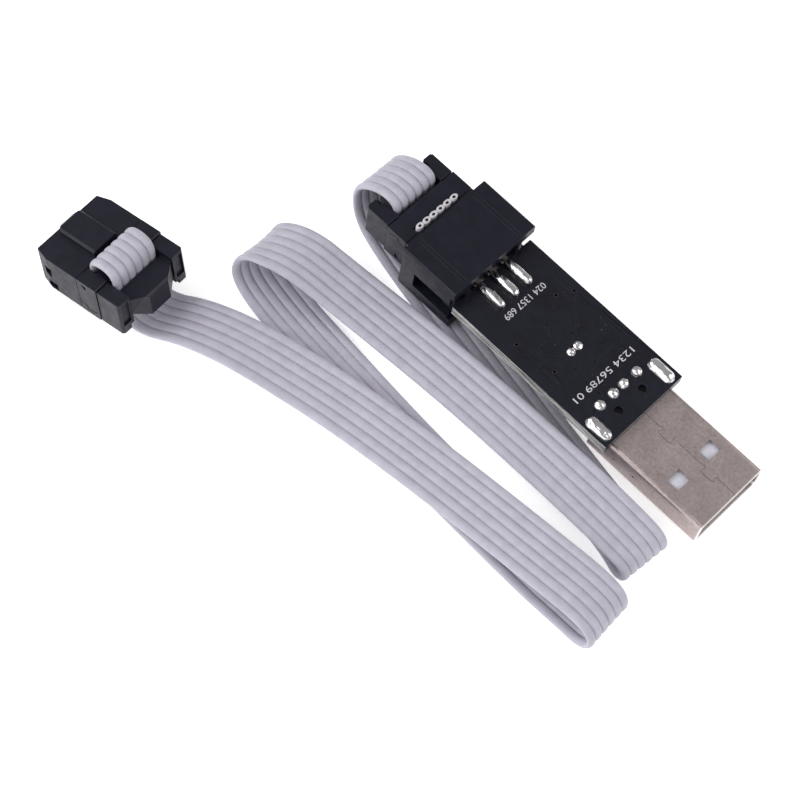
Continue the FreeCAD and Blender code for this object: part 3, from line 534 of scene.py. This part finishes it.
CROWN_SHARES = (-0.93, -0.8, -0.55, -0.2, 0.2, 0.55, 0.8, 0.93)
ROUTE_ORDER = 3                       # a quadratic spline, which stays close to its control points
ROUTE_STEPS = 8                       # points for each control point
GREY, GROOVE, CUT = 0, 1, 2           # the ribbon's materials
SAME = 1e-9                           # heights closer than this are the same


def spline_points(name, points):
    """Points along the one NURBS spline that has these control points."""
    data = bpy.data.curves.new(name, "CURVE")
    data.dimensions = "3D"
    spline = data.splines.new("NURBS")
    spline.points.add(len(points) - 1)
    for knot, point in zip(spline.points, points):
        knot.co = (*point, 1)
    spline.order_u = ROUTE_ORDER
    spline.use_endpoint_u = True
    spline.resolution_u = ROUTE_STEPS
    holder = place_in_scene(name, data)
    mesh = bpy.data.meshes.new_from_object(holder)
    found = [vertex.co.copy() for vertex in mesh.vertices]
    bpy.data.objects.remove(holder)
    return found


def width_at_knot(turned, raised):
    """Unit vector along the ribbon's width."""
    heading = math.radians(turned)
    tilt = math.radians(raised)
    return Vector((-math.sin(heading) * math.cos(tilt), math.cos(heading) * math.cos(tilt), math.sin(tilt)))


def ribbon_profile():
    """Closed outline of six joined wires, as (across, up) pairs."""
    crown = RIBBON_HALF - RIBBON_WEB
    top = []
    for way in range(RIBBON_WAYS):
        middle = (way - (RIBBON_WAYS - 1) / 2) * RIBBON_PITCH
        if way:
            top.append((middle - 0.5 * RIBBON_PITCH, RIBBON_WEB))
        for share in CROWN_SHARES:
            first = way == 0 and share < 0
            last = way == RIBBON_WAYS - 1 and share > 0
            if first or last:
                height = RIBBON_HALF * math.sqrt(1 - share * share)
                top.append((middle + share * RIBBON_WIRE / 2, height))
            else:
                lift = 1 - abs(share) ** RIBBON_ROUND
                top.append((middle + share * RIBBON_PITCH / 2, RIBBON_WEB + crown * lift))
    edge = RIBBON_WIDTH / 2
    top = [(-edge, 0.0)] + top + [(edge, 0.0)]
    return top + [(a, -b) for a, b in reversed(top[1:-1])]


def add_ribbon():
    """The profile swept along the route.  Also gives the middle line and the frame at each point."""
    places = [Vector(row[:3]) * MM for row in ROUTE_MM]
    widths = [width_at_knot(row[3], row[4]) for row in ROUTE_MM]
    line = spline_points("ribbon_line", places)
    side = spline_points("ribbon_side", [p + w * (RIBBON_WIDTH / 2) for p, w in zip(places, widths)])
    profile = ribbon_profile()
    vertices = []
    stations = []
    for index, centre in enumerate(line):
        tangent = (line[min(index + 1, len(line) - 1)] - line[max(index - 1, 0)]).normalized()
        width = side[index] - centre
        width = (width - tangent * width.dot(tangent)).normalized()
        up = tangent.cross(width)
        stations.append((centre, tangent, width, up))
        vertices += [centre + width * a + up * b for a, b in profile]
    count = len(profile)
    faces = []
    for ring in range(len(line) - 1):
        for corner in range(count):
            nxt = (corner + 1) % count
            faces.append((ring * count + corner, ring * count + nxt,
                          (ring + 1) * count + nxt, (ring + 1) * count + corner))
    first_cap = len(faces)
    faces.append(tuple(reversed(range(count))))
    faces.append(tuple(range((len(line) - 1) * count, len(line) * count)))
    mesh = bpy.data.meshes.new("ribbon")
    mesh.from_pydata(vertices, [], faces)
    groove = [abs(abs(b) - RIBBON_WEB) < SAME for a, b in profile]
    for polygon in mesh.polygons:
        corner = polygon.index % count
        if polygon.index >= first_cap:
            polygon.material_index = CUT
        else:
            polygon.use_smooth = True
            polygon.material_index = GROOVE if groove[corner] or groove[(corner + 1) % count] else GREY
    for finish in (ribbon_grey, ribbon_groove_shade, ribbon_cut):
        mesh.materials.append(finish)
    return place_in_scene("ribbon", mesh), line, stations


ribbon, ribbon_line, ribbon_stations = add_ribbon()
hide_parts("ribbon_cable")
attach(ribbon, "cable")


def piece(name, mesh, finishes, body):
    """New piece with its finishes and the body it rides on."""
    made = place_in_scene(name, mesh)
    for finish in finishes:
        made.data.materials.append(finish)
    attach(made, body)
    return made


def closed_mesh(form, name):
    """Mesh made from the bmesh form, with its faces turned outwards."""
    bmesh.ops.recalc_face_normals(form, faces=form.faces)
    mesh = bpy.data.meshes.new(name)
    form.to_mesh(mesh)
    form.free()
    return mesh


def add_rings(form, centre, axes, rings, steps):
    """Smooth skin over a row of rings, each a (radius, lift) pair in mm.  Returns the last ring.

    Each ring lies along the first two axes and is lifted along the third.
    """
    across, along, out = axes
    made = []
    for radius, lift in rings:
        ring = []
        for step in range(steps):
            angle = 2 * math.pi * step / steps
            turned = across * math.cos(angle) + along * math.sin(angle)
            ring.append(form.verts.new(centre + out * (lift * MM) + turned * (radius * MM)))
        made.append(ring)
    for outer, inner in zip(made[:-1], made[1:]):
        for step in range(steps):
            nxt = (step + 1) % steps
            form.faces.new((outer[step], outer[nxt], inner[nxt], inner[step])).smooth = True
    return made[-1]


# From the outside of the insulation, over its cut rim, down to the strand.
CUT_RINGS = ((0.42, -0.1), (0.42, 0.04), (0.38, 0.1), (0.27, 0.1), (0.2, 0.03), (0.19, 0.02))
CUT_STRETCH = 1.3                     # the slanting cut makes each ring wider than it is high
CUT_STEPS = 18


def add_cut_ends():
    """The six cut wires at each end: a ring of insulation standing round a dark strand."""
    for name, station, outward in (("near", ribbon_stations[0], -1), ("far", ribbon_stations[-1], 1)):
        centre, tangent, width, up = station
        form = bmesh.new()
        for way in range(RIBBON_WAYS):
            middle = centre + width * ((way - (RIBBON_WAYS - 1) / 2) * RIBBON_PITCH)
            axes = (width * CUT_STRETCH, up, tangent * outward)
            form.faces.new(add_rings(form, middle, axes, CUT_RINGS, CUT_STEPS)).material_index = 1
        mesh = closed_mesh(form, name + "_wire_ends")
        piece(name + "_wire_ends", mesh, (ribbon_cut, strand), "cable")


add_cut_ends()


# ---------------------------------------------------------------- printing and copper on the board
INK_LIFT = 0.03 * MM
INK_THICKNESS = 0.01 * MM
FONT_PER_HEIGHT = 1.4                 # the font's size over the height of its digits


def flat_text(name, words, x, y_middle, height, width):
    """Raised ink digits that read towards -Y, with their heads towards the plug, in mm."""
    data = bpy.data.curves.new(name, "FONT")
    data.body = words
    data.align_x = "CENTER"
    data.size = height * FONT_PER_HEIGHT * MM
    data.extrude = INK_THICKNESS
    data.resolution_u = 3
    holder = place_in_scene(name + "_curve", data)
    bpy.context.view_layer.update()
    mesh = bpy.data.meshes.new_from_object(holder)
    bpy.data.objects.remove(holder)
    across = max(v.co.x for v in mesh.vertices) - min(v.co.x for v in mesh.vertices)
    for vertex in mesh.vertices:
        along = vertex.co.x * width * MM / across
        vertex.co = Vector((x * MM + vertex.co.y, y_middle * MM - along,
                            BOARD_TOP + INK_LIFT + vertex.co.z))
    piece(name, mesh, (silk_white,), "board")


flat_text("silk_pin_digits", "024 1357 689", x=-7.15, y_middle=0.2, height=0.95, width=7.4)
flat_text("silk_row_digits", "1234 56789 01", x=7.0, y_middle=0.0, height=0.95, width=11.0)


TRACE_SINK = 0.01 * MM                # the strips start just under the board's face


def strip(form, start, end, width, height):
    """Flat raised strip between two places on the board, in mm."""
    a, b = Vector((*start, 0)) * MM, Vector((*end, 0)) * MM
    side = (b - a).cross(Vector((0, 0, 1))).normalized() * (width * MM / 2)
    low, high = BOARD_TOP - TRACE_SINK, BOARD_TOP + height * MM
    corners = [a - side, b - side, b + side, a + side]
    bottom = [form.verts.new((c.x, c.y, low)) for c in corners]
    top = [form.verts.new((c.x, c.y, high)) for c in corners]
    form.faces.new(top)
    for i in range(4):
        form.faces.new((bottom[i], bottom[(i + 1) % 4], top[(i + 1) % 4], top[i]))


TRACE_WIDTH, TRACE_WIDE, TRACE_HEIGHT = 0.3, 0.5, 0.018
TRACE_STEP = 0.001                    # each track stands a little higher, so crossings stay clean
TRACE_ROUTES = (
    ((-7.6, 5.6), (-3.0, 5.6), (0.4, 2.6), (0.4, 1.3), (2.0, 0.2)),
    ((-5.2, 4.7), (-2.2, 4.7), (1.3, 1.5), (2.6, 1.5), (8.6, 6.0)),
    ((-8.0, -5.8), (-2.0, -5.8), (2.6, -1.4)),
    ((-7.4, 0.0), (-2.4, 0.0), (-0.9, -1.4), (-0.9, -3.2), (1.3, -5.2), (8.2, -5.2)),
    ((-6.4, -2.6), (-4.4, -2.6), (-1.7, -0.1), (0.5, -0.1), (2.1, 0.9)),
    ((3.2, 0.5), (5.4, 0.5), (5.4, 5.1), (9.2, 5.1)),
    ((2.9, -0.9), (4.3, -2.2), (8.8, -2.2), (9.6, -3.3)),
    ((-10.6, 6.4), (6.0, 6.4), (7.0, 5.6)),
)


def add_traces():
    """Copper tracks that show as faint ridges under the solder mask."""
    form = bmesh.new()
    for number, route in enumerate(TRACE_ROUTES):
        for start, end in zip(route[:-1], route[1:]):
            strip(form, start, end, TRACE_WIDTH if number % 3 else TRACE_WIDE,
                  TRACE_HEIGHT + TRACE_STEP * number)
    piece("board_tracks", closed_mesh(form, "board_tracks"), (track_mask,), "board")


add_traces()

VIAS = ((-3.4, 6.1), (-4.6, 3.85), (0.3, 2.7), (-3.2, -5.1), (2.8, -4.3))
VIA_RINGS = ((0.32, 0.0), (0.3, 0.02), (0.21, 0.02), (0.2, -0.02))
VIA_STEPS = 20


def add_vias():
    """Copper rims of the plated through holes."""
    form = bmesh.new()
    for x, y in VIAS:
        add_rings(form, Vector((x * MM, y * MM, BOARD_TOP)), Matrix.Identity(3), VIA_RINGS, VIA_STEPS)
    piece("via_rims", closed_mesh(form, "via_rims"), (copper,), "board")


add_vias()
